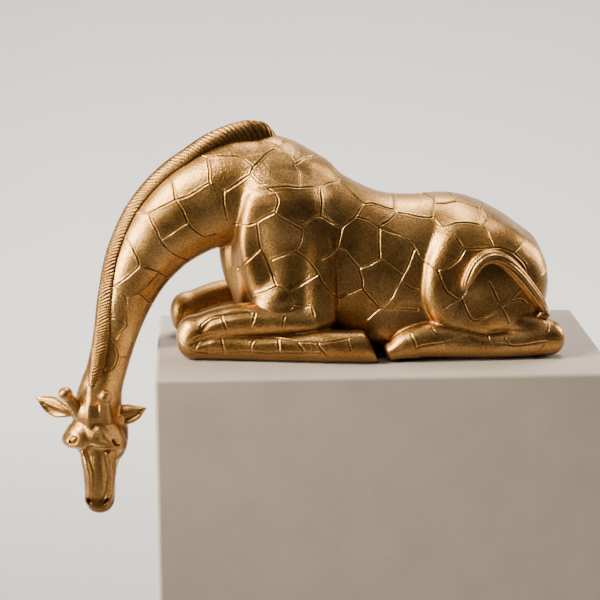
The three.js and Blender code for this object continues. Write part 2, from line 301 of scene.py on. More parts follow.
class Torso(Shape):
    """Upright ovals side by side along X, with a round cap on each end."""

    def __init__(self, rows, power, cap):
        dense = spline(np.array(rows, float), np.linspace(0, 1, 200))[::-1]
        self.x, self.top, self.bottom, self.wide = dense.T
        self.power, self.cap = power, cap
        reach = self.wide.max()
        self.bound(
            [(self.x[0] - 20, -reach, self.bottom.min())],
            [(self.x[-1] + 20, reach, self.top.max())],
        )

    def distance(self, p):
        x = p[:, 0]
        top, bottom, wide = (
            np.interp(x, self.x, row) for row in (self.top, self.bottom, self.wide)
        )
        half = (top - bottom) / 2
        t = x - np.clip(x, self.x[0], self.x[-1])
        v = p[:, 1]
        u = p[:, 2] - (top + bottom) / 2
        cap = self.cap * np.minimum(half, wide)
        n = self.power
        oval = np.abs(u / half) ** n + np.abs(v / wide) ** n + np.abs(t / cap) ** n
        oval = np.maximum(oval, 1e-4) ** (1 / n)
        return inflated(np.sqrt(u * u + v * v + t * t), oval)


# ---------------------------------------------------------------- the castings' fields

torso = Torso(TRUNK, 2.15, 0.5)
neck = Loft(*NECK)


def haunch():
    """The thigh, with a broad roll along its front."""
    thigh = Ball((60, -19.4, 38), (30, 17, 30))
    lower = Ball((60, -25, 22), (25, 11.5, 12))
    roll = Loft(
        (56, -11, 63, 6, 7),
        (44, -18.4, 60.5, 9.4, 10),
        (36.8, -23.6, 51, 10.6, 10.8),
        (35.2, -25.4, 42, 10.8, 11),
        (35.6, -26.2, 33, 10.8, 10.6),
        (41, -26.6, 23.5, 10.6, 9.4),
        (54, -27, 18, 9, 8.4),
        power=2.5,
        steps=60,
    )
    return melt_of(6, thigh, lower, roll)


def shoulder():
    """The shoulder's front: a pillar from the throat's crease down to the forearm."""
    blade = Ball((-45, -13, 68), (19, 13, 31), tip=-12)
    pillar = Loft(
        (-59.5, -17.6, 89, 2, 3),
        (-62, -18, 80, 4.4, 6.4),
        (-63.4, -17.8, 69, 6.6, 8.6),
        (-63, -17.8, 57, 7.4, 9.2),
        (-59.6, -18.4, 45, 8, 9.2),
        (-55.5, -19, 34, 8.2, 9),
        (-50.5, -19, 27, 7.4, 8),
        power=2.3,
        steps=60,
    )
    bulge = Ball((-50, -24.6, 31.5), (9.5, 9, 9.5))
    return melt_of(5, blade, pillar, bulge)


def upper_arm():
    """The flat of the arm, with an edge in front and a steep step to the flank behind."""
    arm = Loft(
        (-44, -9, 92, 9, 6),
        (-44.6, -14.6, 83, 15, 10.6),
        (-43, -17.6, 72, 15.8, 12.4),
        (-42.6, -18, 61, 16, 13),
        (-40.4, -18.6, 50, 14.6, 12.8),
        (-38, -19.6, 38, 12.6, 12.2),
        (-36.6, -21, 27, 12, 10.4),
        power=3,
        steps=80,
    )
    valley = Loft(
        (-36, -35.4, 72, 5, 3.6),
        (-37, -36, 56, 7, 5),
        (-36.4, -36, 40, 6.5, 4.6),
        (-34, -35.6, 30, 4, 4),
        steps=40,
    )
    back_edge = Loft(
        (-28, -20, 68, 6, 7),
        (-27.4, -22.6, 54, 8, 8.2),
        (-27.2, -24.6, 38, 8.4, 8.2),
        (-27.6, -25.6, 22, 8.6, 7.8),
        power=2.6,
        steps=40,
    )
    return lambda p: melt(carve(arm(p), valley(p), 5), back_edge(p), 4)


def belly_fold():
    """The belly's soft edge, seen between the fore hoof and the hind one."""
    return Loft(
        (-14, -17, 13, 9, 7),
        (2, -19.5, 13.5, 11.5, 8.6),
        (20, -20.6, 14, 12, 8.8),
        (38, -20, 14, 11.5, 8.4),
        (54, -18, 14, 9, 7),
        steps=40,
    )


def haunch_fillet(p):
    """The thigh's front edge is a crease; its top and back flow into the rump."""
    return np.interp(p[:, 0] + 0.45 * (p[:, 2] - 45), (32, 52), (1.6, 10))


def arm_fillet(p):
    """The arm's rear edge is a crease; its front edge is a softer one."""
    along = np.interp(p[:, 0] - 0.2 * (p[:, 2] - 60), (-50, -40, -24), (7, 5, 1.6))
    return along + np.interp(p[:, 2], (62, 84), (0, 9))


# How softly each muscle melts into the torso, and the muscle.
muscles = [
    (fillet, on_side(left, side))
    for fillet, left in (
        (7, belly_fold()),
        (haunch_fillet, haunch()),
        (3, shoulder()),
        (arm_fillet, upper_arm()),
    )
    for side in (LEFT, RIGHT)
]
breast = Ball((-68, 0, 46), (11, 9, 25), tip=-10)

to_head = turn_z(FACE_YAW) @ turn_y(FACE_ROLL)


def in_head(p):
    return (p - HEAD_AT) @ to_head


# The head in its own frame: x to its left and right, the face towards -y, the muzzle down.
skull = Loft(
    (0.5, 3, 9, 9.5, 10),
    (-0.4, 2.5, 2, 11.5, 11.5),
    (-0.8, 3, -9, 13.4, 13),
    (-0.2, 3.5, -20, 12.2, 12.6),
    (0, 3, -30, 9.8, 10.4),
    (0, 2, -41, 8.2, 9),
    (0.3, 1.5, -50, 8.2, 8.6),
    (0.3, 1.5, -55.5, 7.4, 7.4),
    caps=(0.8, 0.85),
)
face_plane = Ball((0, -4.3, -40), (6.2, 5, 18))
forehead = Ball((2.4, -7.2, -14), (7, 6.6, 7))
crown = Ball((0.6, -6.2, -4), (9.5, 7.5, 9.5))
jaw = Ball((0, 9, -24), (9.5, 7.5, 19))

# The crest of each brow, in the head's frame: over the eye on the left, down the front on the right.
BROW_CREST = {
    LEFT: [
        (-4, -12.8, -21, 1.2, 1.2),
        (-9, -12.8, -19.8, 1.7, 1.7),
        (-13, -9.8, -19.8, 2, 2),
        (-15.4, -6.6, -20.6, 1.8, 1.8),
    ],
    RIGHT: [
        (5.6, -12.4, -11.6, 0.8, 0.8),
        (9, -13.4, -15, 1.2, 1.2),
        (13, -12, -18, 1.3, 1.3),
        (16, -8.8, -20.6, 1.3, 1.3),
    ],
}
# The bone over each eye: centre and radii.
BROW_MASS = {
    LEFT: ((-7.2, -8, -16.8), (8.8, 6, 7.8)),
    RIGHT: ((7.4, -8, -15.2), (8.8, 6, 6.6)),
}
EYES = {LEFT: (-8.6, -13.7, -18.2), RIGHT: (13.4, -10.8, -18)}

brow_edge = Loft(
    (1, -12.8, -19.6, 0.9, 0.9),
    (6, -13.8, -19.8, 1, 1),
    (11, -12.6, -20.2, 1, 1),
    (15, -9.4, -21, 1, 1),
    across=(0, 1, 0),
    steps=30,
)
nose_root = Ball((0, -14.6, -28), (12, 6, 4.4))  # the hollow under the brows
middle_ridge = Loft(
    (-1.4, -7, 8, 1.6, 1.6),
    (-0.8, -9, 4, 1.8, 1.8),
    (0, -11.8, 0, 1.8, 1.8),
    (0.4, -12.6, -5, 1.5, 1.5),
    (0.6, -12, -12, 1, 1),
    steps=30,
)
lips = Ball((0.4, -0.6, -56), (6.8, 7, 6.2))
MOUTH_Z = -59.0  # the mouth's line, on the head's own axis
MOUTH_DEPTH = 0.25
MUZZLE_SHADE_Z = -49.0  # below this the muzzle's end is darkened: painted shade
# Centre of the painted shade between the brows.
BETWEEN_BROWS = (2.4, -13, -15)


def mouth(q):
    """How deep the mouth's line is pressed in: round the front and the sides of the muzzle."""
    rise = 0.1 * (q[:, 1] + 8)
    shallow = share((6 - q[:, 1]) / 4)
    return MOUTH_DEPTH * shallow * np.exp(-(((q[:, 2] - MOUTH_Z - rise) / 0.5) ** 2))


def brow(side):
    """A cone of bone that sticks out over the eye, with a crest down its front."""
    mass = Ball(*BROW_MASS[side], turn=side * 32)
    bulb = Ball((side * 13, -4.8, -20.6), (4.8, 5, 4.8), tip=side * 30)
    crest = Loft(*BROW_CREST[side], across=(0, 1, 0), steps=40)
    cone = melt_of(4, mass, bulb)
    return lambda p: melt(cone(p), crest(p), 2.4)


def nose_edge(side):
    """The ridge along each side of the nose's flat front, and the slope beside it."""
    ridge = Loft(
        (side * 6.4, -6.6, -26.5, 1.2, 1.5),
        (side * 5.9, -7.5, -36, 1.2, 1.5),
        (side * 5.2, -7.5, -46, 1.1, 1.4),
        (side * 4.5, -7.3, -53, 1, 1.1),
        steps=40,
    )
    slope = Loft(
        (side * 6.6, -3, -27, 3, 4),
        (side * 6.2, -3.3, -36, 2.9, 4.2),
        (side * 5.4, -3.3, -46, 2.7, 4),
        (side * 4.6, -3, -53, 2.6, 3.6),
        steps=40,
    )
    return melt_of(1.2, ridge, slope)


def paired_parts(side):
    """What the head has on each side; the nostril and its rim are in the muzzle's frame."""
    x, y, z = EYES[side]
    tilt = {"tip": side * 28, "turn": side * 30}
    return {
        "cheek": Ball((side * 9.2, 5, -19), (5.6, 8.5, 13), turn=side * 8),
        "brow": brow(side),
        "hollow": Ball((x, y, z), (3.2, 1.8, 1.7), **tilt),
        "eye": Ball((x, y + 1.7, z), (2.9, 2.2, 1.5), **tilt),
        "rim": Ball((side * 4.3, -5.4, -53.6), (2.6, 2.6, 3.6), tip=side * 24),
        "nostril": Ball((side * 4.5, -8, -53.4), (1.1, 2.2, 2.3), tip=side * 34),
        "edge": nose_edge(side),
    }


head_sides = {side: paired_parts(side) for side in (LEFT, RIGHT)}

# The muzzle is turned back from the brows: height on the head, and degrees.
MUZZLE_TURN = [(-55, 12), (-48, 20), (-38, 24), (-29, 14), (-24, 4)]
MUZZLE_AXIS = np.array([0.0, 1.5, 0.0])


def in_muzzle(q):
    heights, turns = np.array(MUZZLE_TURN).T
    angle = np.radians(np.interp(q[:, 2], heights, turns))
    c, s = np.cos(angle), np.sin(angle)
    x, y, z = (q - MUZZLE_AXIS).T
    return np.stack([x * c + y * s, y * c - x * s, z], 1) + MUZZLE_AXIS


def head_field(q):
    m = in_muzzle(q)
    f = melt(skull(q), jaw(q), 5)
    f = melt(f, crown(q), 5)
    f = melt(f, face_plane(m), 2.5)
    f = melt(f, forehead(q), 3)
    f = melt(f, middle_ridge(q), 2)
    f = melt(f, lips(m), 3)
    for parts in head_sides.values():
        f = melt(f, parts["cheek"](q), 4)
        f = melt(f, parts["edge"](m), 1.6)
        f = melt(f, parts["brow"](q), 2.6)
    f = melt(f, brow_edge(q), 1.4)
    f = carve(f, nose_root(q), 1.2)
    for parts in head_sides.values():
        f = carve(f, parts["hollow"](q), 0.8)
        f = melt(f, parts["eye"](q), 0.3)
        f = melt(f, parts["rim"](m), 1.4)
        f = carve(f, parts["nostril"](m), 0.5)
    return f + mouth(q)


# The ears stand on each side of this x in the head's frame; the horns have their own root and tip.
EAR_MIDDLE = -5.2
OSSICONE_ENDS = {
    LEFT: ((-7.2, -9, -2.4), (-12.4, -14.5, 8.2)),
    RIGHT: ((8.2, -9.5, -3.2), (9.8, -14.5, 9)),
}


def ear_field(side):
    def at(x, y, z):
        return (EAR_MIDDLE + side * x, y, z)

    leaf = Loft(
        (*at(9, 2, -7.4), 3, 3.2),
        (*at(14, 2.2, -7.2), 4.2, 3.4),
        (*at(19.5, 2.8, -6.6), 5.6, 3.1),
        (*at(25, 3.2, -5), 4.4, 2.4),
        (*at(29, 3.2, -3), 1.9, 1.3),
        (*at(31.2, 3, -2), 0.6, 0.5),
        caps=(0.8, 0.9),
        steps=60,
    )
    bowl = Loft(
        (*at(13.5, -2, -9), 1.6, 1.8),
        (*at(18, -1.5, -8.8), 2.7, 2.8),
        (*at(22.5, -0.6, -7.8), 2.7, 2.8),
        (*at(27.2, 1.2, -5), 1.4, 1.6),
        caps=(0.8, 0.9),
        steps=40,
    )
    return lambda q: carve(leaf(q), bowl(q), 0.7)


def ossicone_field(side):
    def at(t):
        root, tip = (np.array(end, float) for end in OSSICONE_ENDS[side])
        return tuple(root + (tip - root) * t)

    shaft = Loft(
        (*at(-0.25), 4, 4),
        (*at(0.05), 3.3, 3.3),
        (*at(0.4), 3, 3),
        (*at(0.8), 2.8, 2.8),
        (*at(0.95), 2.9, 2.9),
        across=(1, 0, 0),
        steps=40,
    )
    knob = Ball(at(0.97), (3.8, 3.8, 3.3))
    return lambda q: melt(shaft(q), knob(q), 0.9)


# Legs, folded on themselves.
FORE_CANNON = [
    (4, -36, 8, 8, 7),
    (-8, -35.6, 8.4, 8.4, 7.4),
    (-16, -34.8, 8.4, 8.2, 7.6),
    (-26, -33.6, 8.3, 8.3, 7.6),
    (-44, -31, 7.2, 7.2, 7.2),
    (-66, -27.8, 6.8, 6.8, 7.2),
    (-84, -25.4, 7.6, 7.6, 7.8),
    (-92, -24.4, 8.6, 8.4, 8.2),
]
FOREARM = [
    (-92, -24, 13.4, 9, 8.8),
    (-80, -25.2, 18.2, 9, 8.4),
    (-66, -26.4, 20.6, 9.2, 8.4),
    (-48, -27.6, 20.8, 8.2, 8.2),
    (-31, -27.6, 19.4, 6.4, 6.8),
]
HIND_CANNON = [
    (9, -33.8, 5, 4.8, 6.2),
    (17, -33.6, 8.4, 7.8, 7.3),
    (28, -33.2, 10.4, 8.9, 7.8),
    (44, -32.6, 9, 8, 7.6),
    (60, -31.8, 7.4, 7, 7.6),
    (78, -30.6, 8.4, 8, 8.2),
    (89.5, -29.6, 9.8, 9.4, 8.8),
]
GASKIN = [
    (62, -28, 24, 8, 7),
    (76, -29, 18, 7.5, 7),
    (90, -29.4, 12.5, 7, 7),
]


TOE = (2.4, 0.0)  # x and z of the fore hoof's tip
TOE_SLOPE = math.radians(64)  # from the ground to the hoof's front


def beyond_toe(p):
    """How far a point lies in front of the fore hoof's sloping front."""
    run = (p[:, 0] - TOE[0]) * math.sin(TOE_SLOPE)
    return run + (p[:, 2] - TOE[1]) * math.cos(TOE_SLOPE)


def foreleg_field():
    cannon = Loft(*FORE_CANNON, power=2.4, caps=(0.6, 1.1))
    arm = Loft(*FOREARM, caps=(1.05, 0.9))
    knee = Ball((-93.5, -24.2, 11.2), (8.6, 8.6, 11.2), tip=-10)
    hollow = Ball((-89, -33.6, 12), (7.5, 2.4, 2.6), tip=-18)
    fold = Loft(
        (-90, -33.6, 16, 1, 1),
        (-84.6, -33.4, 22.6, 1.7, 1.7),
        (-70, -33.4, 26.6, 1.7, 1.7),
        (-56, -36, 26, 0.8, 0.8),
        steps=40,
    )

    def field(p):
        f = melt(cannon(p), arm(p), 1)
        f = melt(f, knee(p), 3)
        f = carve(f, hollow(p), 1.5)
        f = carve(f, fold(p), 1.6)
        return -melt(-f, -beyond_toe(p), 1.2)

    return field


def hindleg_field():
    cannon = Loft(*HIND_CANNON, power=2.3, caps=(0.9, 1.15))
    gaskin = Loft(*GASKIN, caps=(0.6, 0.9))
    return lambda p: melt(cannon(p), gaskin(p), 2)


foreleg, hindleg = foreleg_field(), hindleg_field()
forelegs = {side: on_side(foreleg, side, FORE_SHIFT[side]) for side in (LEFT, RIGHT)}
hindlegs = {side: on_side(hindleg, side) for side in (LEFT, RIGHT)}
ears = {side: ear_field(side) for side in (LEFT, RIGHT)}
ossicones = {side: ossicone_field(side) for side in (LEFT, RIGHT)}


def body_field(p):
    """Trunk and neck as one smooth body."""
    f = torso(p)
    for fillet, muscle in muscles:
        f = melt(f, muscle(p), fillet(p) if callable(fillet) else fillet)
    f = melt(f, breast(p), 2.4)
    throat = np.interp(p[:, 2], (56, 84, 100), (1.2, 3, 11))
    return melt(f, neck(p), throat)


def trunk_field(p):
    f = body_field(p)
    for leg in forelegs.values():
        f = melt(f, leg(p) + SUNK, 3.5)
    for leg in hindlegs.values():
        f = melt(f, leg(p) + SUNK, 1.8)
    return f


def neck_field(p):
    return melt(body_field(p), head_field(in_head(p)), 4)


def skull_field(p):
    q = in_head(p)
    f = melt(head_field(q), neck(p), 4)
    for side in (LEFT, RIGHT):
        f = melt(f, ears[side](q) + SUNK, 2.4)
        f = melt(f, ossicones[side](q) + SUNK, 2)
    return f


# ---------------------------------------------------------------- fields into meshes


def sampled(field, low, high, step):
    """The field on a grid, worked out only near its surface."""
    low, high = np.asarray(low, float), np.asarray(high, float)
    block = 4
    size = np.ceil((high - low) / (step * block)).astype(int) + 1
    ticks = [low[k] + step * block * np.arange(size[k]) for k in range(3)]
    coarse = np.stack(np.meshgrid(*ticks, indexing="ij"), -1).reshape(-1, 3)
    middle = step * (block - 1) / 2
    rough = each(field, coarse + middle)
    values = np.repeat(np.sign(rough)[:, None] * 3 * step, block**3, axis=1)
    near = np.abs(rough) < step * block * 1.5
    offsets = np.stack(np.meshgrid(*[np.arange(block) * step] * 3, indexing="ij"), -1)
    fine = coarse[near][:, None, :] + offsets.reshape(-1, 3)
    values[near] = each(field, fine.reshape(-1, 3)).reshape(-1, block**3)
    shaped = values.reshape(*size, block, block, block).transpose(0, 3, 1, 4, 2, 5)
    return shaped.reshape(size * block)


CORNERS = np.array([(1, 1, 1), (1, -1, -1), (-1, 1, -1), (-1, -1, 1)], float)


def gradient(field, p, reach=0.12):
    """The field's slope, from its values on a small tetrahedron."""
    values = each(field, (p[:, None, :] + CORNERS * reach).reshape(-1, 3)).reshape(-1, 4)
    return values @ CORNERS / (4 * reach)


def settled(field, p, rounds=2):
    """Points moved along the gradient until they lie on the surface."""
    g = gradient(field, p)
    slope = g / np.maximum((g * g).sum(1), 0.05)[:, None]
    for _ in range(rounds):
        p = p - np.clip(each(field, p), -1.5, 1.5)[:, None] * slope
    return p


def surface_of(field, low, high, step):
    """The field's surface as a bmesh of quads."""
    values = sampled(field, low, high, step)
    grid = openvdb.FloatGrid(3 * step)
    grid.copyFromArray(np.clip(values, -3 * step, 3 * step).astype(np.float32))
    points, _, quads = grid.convertToPolygons(isovalue=0.0, adaptivity=0.0)
    points = settled(field, points * step + np.asarray(low, float))
    mesh = bpy.data.meshes.new("surface")
    mesh.from_pydata(points.tolist(), [], quads[:, ::-1].tolist())
    bm = bmesh.new()
    bm.from_mesh(mesh)
    bpy.data.meshes.remove(mesh)
    return bm


def keep_side(bm, point, normal):
    """Cuts the mesh on a plane, removes what the normal points to and closes the cut."""
    geometry = bm.verts[:] + bm.edges[:] + bm.faces[:]
    cut = bmesh.ops.bisect_plane(
        bm,
        geom=geometry,
        plane_co=Vector(point),
        plane_no=Vector(normal),
        dist=1e-4,
        clear_outer=True,
    )
    rim = [e for e in cut["geom_cut"] if isinstance(e, bmesh.types.BMEdge) and e.is_boundary]
    if rim:
        made = bmesh.ops.edgeloop_fill(bm, edges=rim)
        for face in made["faces"]:
            face.smooth = False
            for edge in face.edges:
                edge.smooth = False


def largest_shell(bm):
    """Removes every loose bit but the largest one."""
    bm.verts.ensure_lookup_table()
    seen = np.zeros(len(bm.verts), bool)
    bm.verts.index_update()
    shells = []
    for start in bm.verts:
        if seen[start.index]:
            continue
        seen[start.index] = True
        queue, shell = [start], []
        while queue:
            v = queue.pop()
            shell.append(v)
            for e in v.link_edges:
                other = e.other_vert(v)
                if not seen[other.index]:
                    seen[other.index] = True
                    queue.append(other)
        shells.append(shell)
    shells.sort(key=len)
    for shell in shells[:-1]:
        bmesh.ops.delete(bm, geom=shell, context="VERTS")


def positions(bm):
    return np.array([v.co[:] for v in bm.verts])


def place(bm, p):
    for v, co in zip(bm.verts, p.tolist()):
        v.co = co


def shade_smooth(bm):
    """Smooth shading everywhere but on the caps, which have more than four corners."""
    for f in bm.faces:
        if len(f.verts) <= 4:
            f.smooth = True


def outer_verts(bm):
    """True for the vertices that lie on no flat cap."""
    bm.verts.index_update()
    flags = np.ones(len(bm.verts), bool)
    for f in bm.faces:
        if not f.smooth:
            for v in f.verts:
                flags[v.index] = False
    return flags


def refine(bm, measure, reach):
    """Splits the edges that come closer to a line than reach."""
    bm.verts.index_update()
    near = measure(positions(bm)) < reach
    edges = [
        e
        for e in bm.edges
        if e.smooth and (near[e.verts[0].index] or near[e.verts[1].index])
    ]
    bmesh.ops.subdivide_edges(bm, edges=edges, cuts=1, use_grid_fill=True)


# ---------------------------------------------------------------- pattern of the coat

# The camera's side is the left one, and it looks down a little: the coat's lines are laid as they
# are seen from there, as x and height on the middle plane.
SIGHT = unit(np.array([math.sin(math.radians(-3)), -1.0, math.tan(math.radians(15))]))
COAT = [
    # the lower neck, from the poll upwards
    ((-142, -14), (-139, -12), (-136, -13), (-134, -9), (-133, -5), (-135, 1), (-137, 4), (-141, 4)),
    ((-134, 4), (-131, 8), (-128, 12), (-134, 15), (-139, 16)),
    ((-128, 12), (-128, 19), (-128, 27), (-131, 30), (-137, 34)),
    ((-128, 27), (-121, 29), (-115, 35), (-110, 40)),
    ((-134, 33), (-126, 38), (-120, 44), (-124, 54), (-128, 59)),
    ((-120, 44), (-114, 42), (-110, 40)),
    # the arch
    ((-123, 71), (-120, 72), (-115, 71), (-108, 75), (-101, 78), (-93, 81), (-84, 86)),
    ((-107, 94), (-103, 88), (-101, 78), (-97, 72), (-95, 66), (-91, 62), (-87, 59), (-80, 60)),
    ((-95, 66), (-102, 61), (-109, 57)),
    ((-92, 103), (-85, 101), (-78, 101), (-71, 101), (-66, 99), (-61, 95)),
    ((-85, 101), (-84, 94), (-83, 86), (-80, 84), (-76, 82), (-69, 86), (-62, 91)),
    ((-76, 82), (-76, 75), (-74, 67)),
    # the withers and the shoulder
    ((-61, 95), (-62, 91), (-57, 86), (-53, 83), (-49, 80), (-48, 75), (-50, 70)),
    ((-61, 95), (-57, 99), (-53, 103), (-48, 105), (-54, 109), (-61, 113)),
    ((-48, 105), (-43, 101), (-39, 96), (-37, 90), (-37, 83)),
    ((-39, 96), (-33, 100), (-28, 102), (-24, 101), (-20, 96), (-16, 88)),
    ((-53, 83), (-45, 84), (-37, 83), (-27, 84), (-19, 87), (-16, 88)),
    ((-27, 84), (-26, 77), (-27, 68)),
    ((-36, 61), (-35, 63), (-31, 67), (-27, 68), (-21, 65), (-15, 62)),
    ((-50, 70), (-44, 66), (-36, 61), (-36, 56), (-39, 50)),
    ((-71, 65), (-64, 64), (-59, 65), (-54, 68), (-50, 70)),
    ((-59, 65), (-58, 58), (-57, 52), (-54, 46), (-52, 40), (-49, 31)),
    ((-57, 52), (-62, 47), (-69, 41)),
    ((-51, 45), (-45, 48), (-39, 50), (-33, 45), (-28, 38), (-35, 33), (-42, 28)),
    ((-61, 27), (-55, 29), (-49, 31), (-42, 28), (-41, 21), (-44, 18), (-46, 15)),
    ((-41, 21), (-36, 20), (-31, 20), (-29, 13)),
    ((-28, 38), (-23, 30), (-17, 25), (-12, 27), (-5, 30)),
    # the flank
    ((-16, 88), (-11, 82), (-4, 75), (1, 75), (12, 72)),
    ((-4, 75), (-8, 68), (-12, 65), (-15, 62), (-16, 57), (-18, 51)),
    ((-26, 45), (-21, 48), (-18, 51), (-13, 49), (-10, 45), (-6, 40)),
    ((-8, 68), (-2, 66), (4, 62), (16, 57)),
    ((4, 62), (4, 52), (4, 45)),
    ((-5, 30), (-5, 35), (-6, 40), (-1, 42), (4, 45), (10, 41), (16, 36)),
    ((-5, 30), (0, 24), (5, 19), (11, 25), (16, 36), (19, 42), (22, 51)),
    ((-2, 13), (1, 16), (5, 19), (13, 19), (24, 18)),
    ((12, 81), (19, 81), (28, 81), (32, 78), (33, 75), (39, 75), (45, 76), (51, 74), (57, 72)),
    ((12, 72), (13, 70), (9, 66), (5, 63), (12, 59), (18, 56), (22, 51), (24, 47)),
    ((13, 70), (19, 69), (31, 67), (32, 72), (33, 75)),
    ((31, 67), (34, 63), (35, 62)),
    ((17, 32), (20, 30), (24, 29)),
    ((24, 47), (27, 43), (31, 41), (34, 39)),
    # the thigh and the rump
    ((57, 72), (59, 68), (56, 63), (60, 59), (62, 50)),
    ((37, 62), (43, 64), (49, 64), (56, 63)),
    ((44, 55), (48, 50), (55, 50), (62, 50), (67, 50), (73, 48)),
    ((48, 50), (44, 44), (39, 40), (34, 39), (36, 32), (39, 27), (45, 23), (47, 25), (49, 28)),
    ((45, 23), (41, 21), (37, 19)),
    ((47, 23), (49, 17), (53, 12), (59, 14), (64, 16)),
    ((60, 32), (63, 27), (65, 22)),
    ((71, 10), (69, 15), (67, 19), (72, 22), (77, 23), (81, 20), (82, 15), (84, 10)),
    ((78, 30), (73, 25), (72, 22)),
    ((73, 48), (79, 41), (83, 31)),
]
# Lines whose last stretch runs on over the outline, down to the middle of the back or the throat.
COAT_OVER = [
    ((-131, -6), (-128, -6)),
    ((-121, 29), (-117, 25)),
    ((-110, 40), (-107, 38)),
    ((-115, 71), (-112, 64), (-109, 57), (-105, 52), (-99, 48)),
    ((-48, 105), (-46, 108)),
    ((12, 72), (12, 81)),
    ((45, 76), (43, 79), (40, 83)),
    ((57, 72), (59, 75), (61, 79)),
    ((73, 48), (76, 51), (80, 55)),
    ((84, 31), (87, 34)),
]
# The legs' lines, seen in the same way.
FORE_LINES = [
    ((-71, 24), (-79, 22), (-88, 19), (-94, 16), (-99, 13), (-101, 9), (-100, 5), (-96, 0), (-90, -3)),
    ((-62, 17), (-74, 17), (-83, 15), (-88, 12), (-89, 8)),
    ((-77, 16), (-75, 9)),
    ((-60, 17), (-63, 9)),
    ((-45, 15), (-46, 10)),
    ((-90, -3), (-82, -4), (-69, -3), (-48, -4), (-26, -4)),
    ((-88, 4), (-91, -2)),
    ((-78, 5), (-76, -3), (-76, -6)),
    ((-60, 4), (-62, 0), (-62, -4)),
    ((-60, 4), (-48, 4), (-38, 2), (-28, 1), (-12, 3)),
    ((-48, 4), (-48, -4)),
    ((-38, 2), (-35, -3)),
    ((-28, 1), (-22, -7)),
    ((-12, 3), (-11, -3)),
]
HIND_LINES = [
    ((24, -2), (32, 0), (39, 1), (47, 2), (55, 0), (64, 0), (74, -2), (91, 0)),
    ((20, 5), (22, 0), (23, -3)),
    ((31, 8), (35, 4), (39, 1)),
    ((50, 3), (56, 0)),
    ((60, 5), (61, 0)),
    ((69, 2), (71, -1)),
    ((37, -1), (37, -9)),
    ((60, -1), (60, -9)),
    ((90, 0), (85, -9)),
    ((82, 17), (88, 14), (92, 10), (91, 5)),
]


RAY_REACH = 60.0
HALVINGS = 18  # they bring a ray's end within a thousandth of a millimetre


def cast(field, start, direction):
    """Points where rays from inside the body leave it."""
    low, high = np.zeros(len(start)), np.full(len(start), RAY_REACH)
    for _ in range(HALVINGS):
        middle = (low + high) / 2
        outside = each(field, start + middle[:, None] * direction) > 0
        high = np.where(outside, middle, high)
        low = np.where(outside, low, middle)
    return start + high[:, None] * direction


def laid(field, line, side, inside=0.0):
    """A line laid on one side's surface, with a point every millimetre or so."""
    line = np.array(line, float)
    length = np.linalg.norm(np.diff(line, axis=0), axis=1).sum()
    bends = spline(line, np.linspace(0, 1, int(length) + 2))
    straight = np.linspace(0, len(line) - 1, len(bends))
    corners = np.stack([np.interp(straight, range(len(line)), line[:, k]) for k in (0, 1)], 1)
    x, z = (bends * 0.5 + corners * 0.5).T
    direction = SIGHT * (1, -side, 1)
    start = np.stack([x, 0 * x, z], 1) + direction * (inside / abs(direction[1]))
    return cast(field, start, direction)


def run_on(field, points, side):
    """The rest of a line: straight on over the surface until the middle plane."""
    p, heading = points[-1:], unit(points[-1:] - points[-2:-1])
    rest = []
    while p[0, 1] * side > 0 and len(rest) < 60:
        rest.append(p[0])
        p = settled(field, p + heading)
        normal = unit(gradient(field, p))
        heading = unit(heading - normal * (heading * normal).sum())
        heading = unit(heading + np.array([[0, -0.06 * side, 0]]))
    rest.append(p[0])
    return np.array(rest)


POINT_EVERY = 0.16  # along the incised lines


def tree_of(lines):
    """A search tree of points all along the lines."""
    dense = []
    for points in lines:
        steps = np.linalg.norm(np.diff(points, axis=0), axis=1)
        along = np.concatenate([[0], np.cumsum(steps)])
        ticks = np.arange(0, along[-1], POINT_EVERY)
        dense.append(np.stack([np.interp(ticks, along, points[:, k]) for k in range(3)], 1))
    dense = np.concatenate(dense)
    tree = KDTree(len(dense))
    for k, point in enumerate(dense.tolist()):
        tree.insert(point, k)
    tree.balance()
    return tree


def coat_tree():
    lines = []
    for side in (LEFT, RIGHT):
        lines += [laid(body_field, line, side) for line in COAT]
        for line in COAT_OVER:
            seen = laid(body_field, line, side)
            lines += [seen, run_on(body_field, seen, side)]
    return tree_of(lines)


def wobble(p, scale, size):
    """A slow, smooth sideways drift that keeps the incised lines from being straight."""
    q = p / scale
    a = np.sin(q @ (1.3, 2.1, 0.7) + 1.1) + np.sin(q @ (-2.4, 0.9, 1.9) + 4.2)
    b = np.sin(q @ (0.8, -1.7, 2.3) + 2.7) + np.sin(q @ (2.0, 1.2, -1.1) + 0.4)
    c = np.sin(q @ (-1.1, 1.5, 1.4) + 5.3) + np.sin(q @ (1.6, -2.2, 0.5) + 3.1)
    return p + size * 0.5 * np.stack([a, b, c], 1)


WAVER_LENGTH, WAVER = 5.0, 0.35


def line_distance(p, tree):
    """Distance of each point from the nearest incised line, with a hand's slight waver."""
    return np.array([tree.find(co)[2] for co in wobble(p, WAVER_LENGTH, WAVER).tolist()])


LINE_HALF = 0.52
LINE_DEPTH = 0.55
LIP_HEIGHT = 0.12


def line_profile(d):
    """Height of the surface across an incised line: a rounded V between two faint lips."""
    groove = -LINE_DEPTH * share(1 - d / LINE_HALF) ** 0.8
    lip = LIP_HEIGHT * np.exp(-(((d - LINE_HALF * 1.5) / 0.35) ** 2))
    return groove + lip


# ---------------------------------------------------------------- finishes


